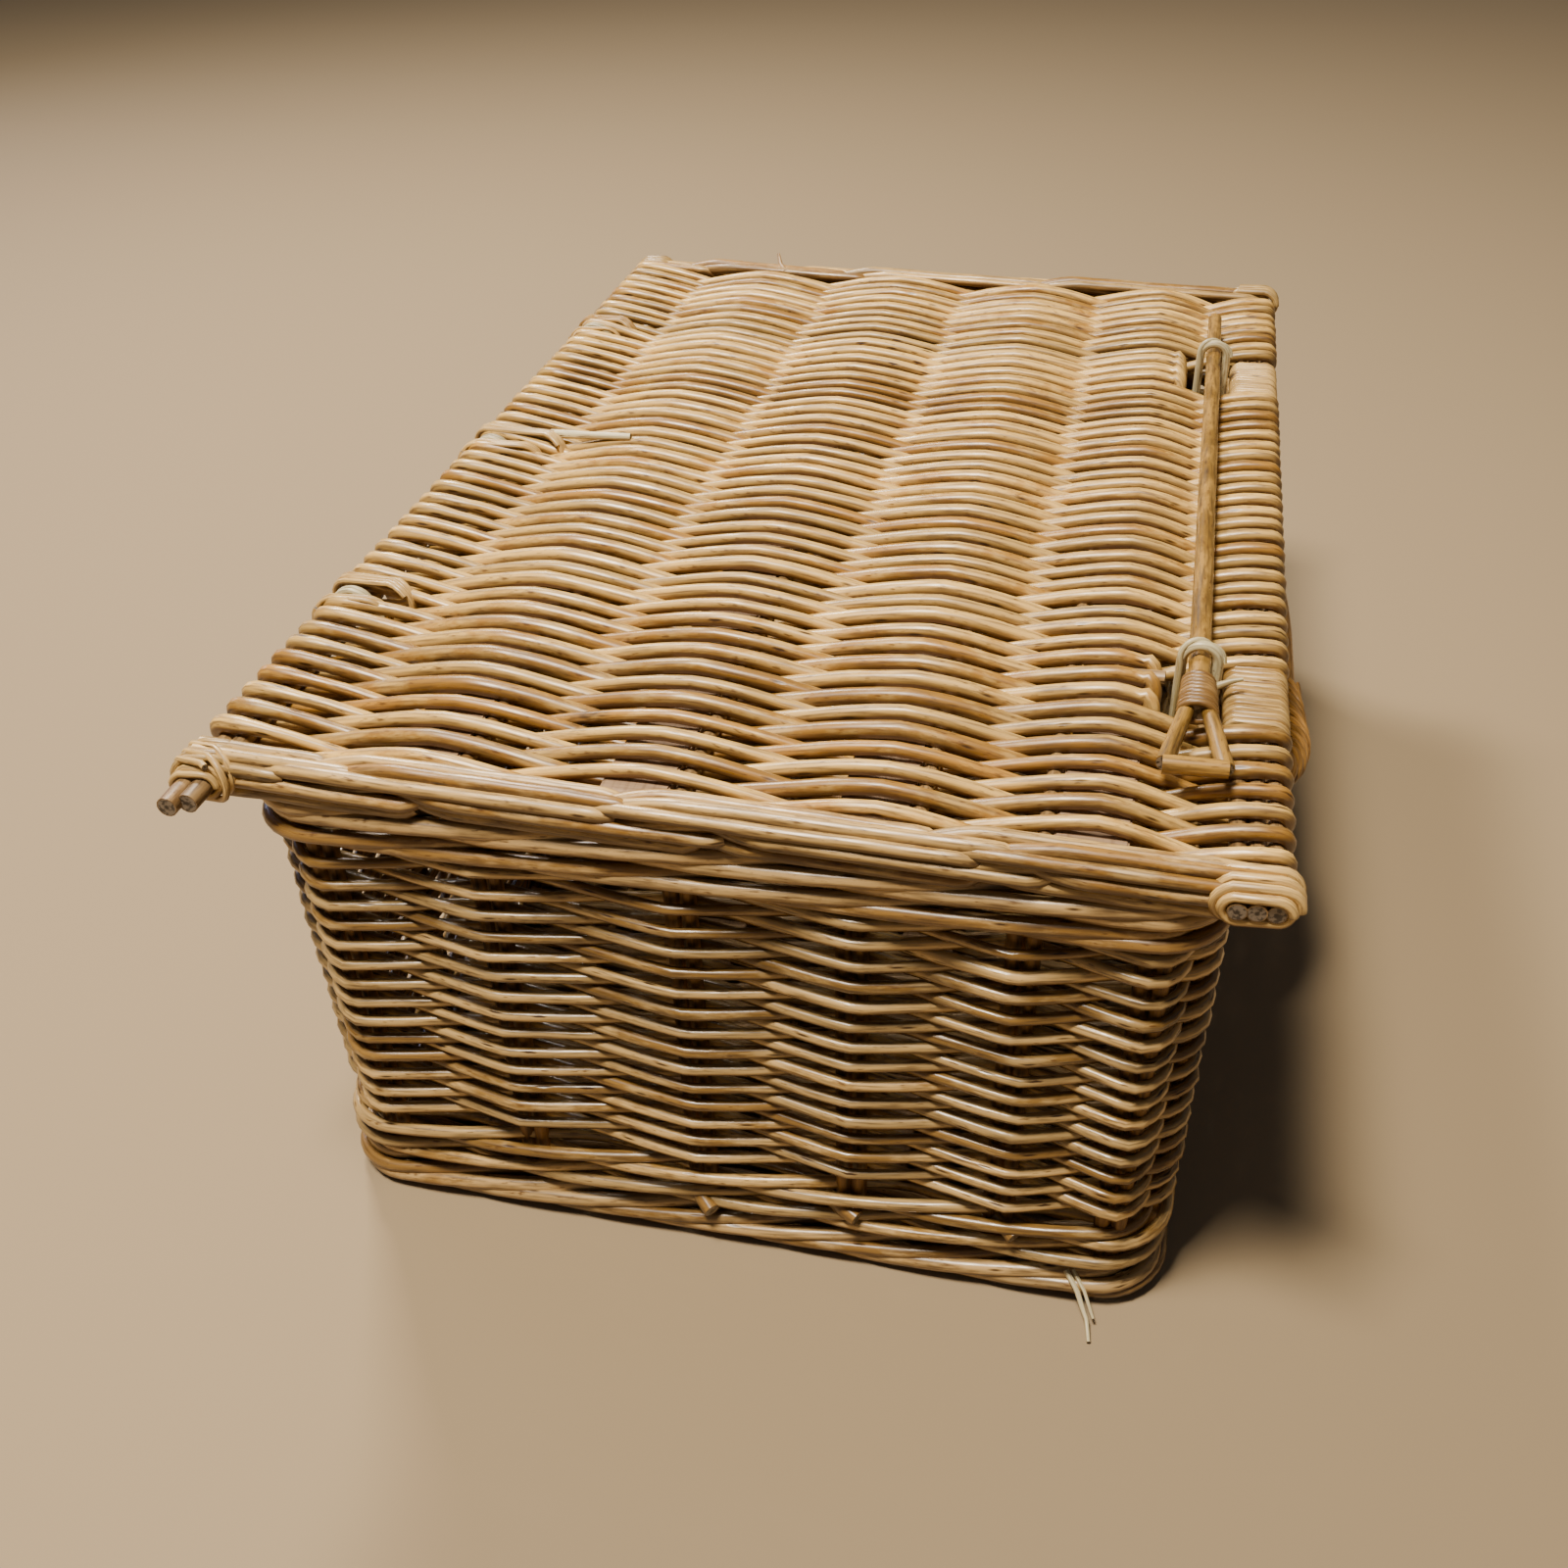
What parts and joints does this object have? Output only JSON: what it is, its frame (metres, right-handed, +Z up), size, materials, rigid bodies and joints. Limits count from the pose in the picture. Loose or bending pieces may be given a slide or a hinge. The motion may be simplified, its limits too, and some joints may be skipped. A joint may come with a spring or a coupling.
{
  "type": "laundry hamper with lid",
  "caption": "Rectangular woven willow hamper with a flat lid tied along the back edge, rings on the front border that pass through the lid, and a sliding locking rod with a pull loop.",
  "frame": {"origin": "on the floor, under the centre of the whole object's box", "axes": "+X to the front, where the rod and handle are; +Y along the length, to the far end; +Z up"},
  "size_m": [0.4726, 0.662, 0.272],
  "materials": {
    "willow_wall": "satin",
    "willow_border": "satin",
    "willow_stake": "satin",
    "willow_base": "satin",
    "sawn_lath": "rough sawn",
    "willow_stick": "satin",
    "willow_lid": "satin",
    "willow_wale": "satin",
    "split_cane": "satin",
    "brown_willow": "satin",
    "willow_rope": "satin"
  },
  "bodies": {
    "basket": {"near_wall_weave": "willow_wall", "front_wall_weave": "willow_wall", "far_wall_weave": "willow_wall", "back_wall_weave": "willow_wall", "near_foot_border": "willow_border", "near_top_border": "willow_border", "front_foot_border": "willow_border", "front_top_border": "willow_border", "far_foot_border": "willow_border", "far_top_border": "willow_border", "back_foot_border": "willow_border", "back_top_border": "willow_border", "near_stake_pair_1": "willow_stake", "near_stake_pair_2": "willow_stake", "near_stake_pair_3": "willow_stake", "near_stake_pair_4": "willow_stake", "near_stake_pair_5": "willow_stake", "near_stake_pair_6": "willow_stake", "front_stake_pair_1": "willow_stake", "front_stake_pair_2": "willow_stake", "front_stake_pair_3": "willow_stake", "front_stake_pair_4": "willow_stake", "front_stake_pair_5": "willow_stake", "front_stake_pair_6": "willow_stake", "front_stake_pair_7": "willow_stake", "front_stake_pair_8": "willow_stake", "far_stake_pair_1": "willow_stake", "far_stake_pair_2": "willow_stake", "far_stake_pair_3": "willow_stake", "far_stake_pair_4": "willow_stake", "far_stake_pair_5": "willow_stake", "far_stake_pair_6": "willow_stake", "back_stake_pair_1": "willow_stake", "back_stake_pair_2": "willow_stake", "back_stake_pair_3": "willow_stake", "back_stake_pair_4": "willow_stake", "back_stake_pair_5": "willow_stake", "back_stake_pair_6": "willow_stake", "back_stake_pair_7": "willow_stake", "back_stake_pair_8": "willow_stake", "base_weave": "willow_base", "base_lath_1": "sawn_lath", "base_lath_2": "sawn_lath", "lock_ring_1": "split_cane", "lock_ring_2": "split_cane", "hinge_tie_1": "split_cane", "hinge_tie_2": "split_cane", "hinge_tie_3": "split_cane", "front_handle": "willow_rope"},
    "lid": {"lid_weave": "willow_lid", "lid_near_wale": "willow_wale", "lid_far_wale": "willow_wale", "lid_lath_1": "sawn_lath", "lid_lath_2": "sawn_lath", "lid_lath_3": "sawn_lath", "lid_lath_4": "sawn_lath", "lid_front_sticks": "willow_stick", "lid_hinge_sticks": "willow_stick"},
    "rod": {"locking_rod": "brown_willow", "rod_binding": "split_cane"}
  },
  "joints": [
    {"name": "lid_hinge", "type": "hinge", "parent": "basket", "child": "lid", "pos_m": [-0.22477, 0.006, 0.2448], "axis": [0, -1, 0], "range_deg": [0, 105]},
    {"name": "rod_slide", "type": "slide", "parent": "basket", "child": "rod", "axis": [0, -1, 0], "range_m": [0, 0.43]}
  ]
}
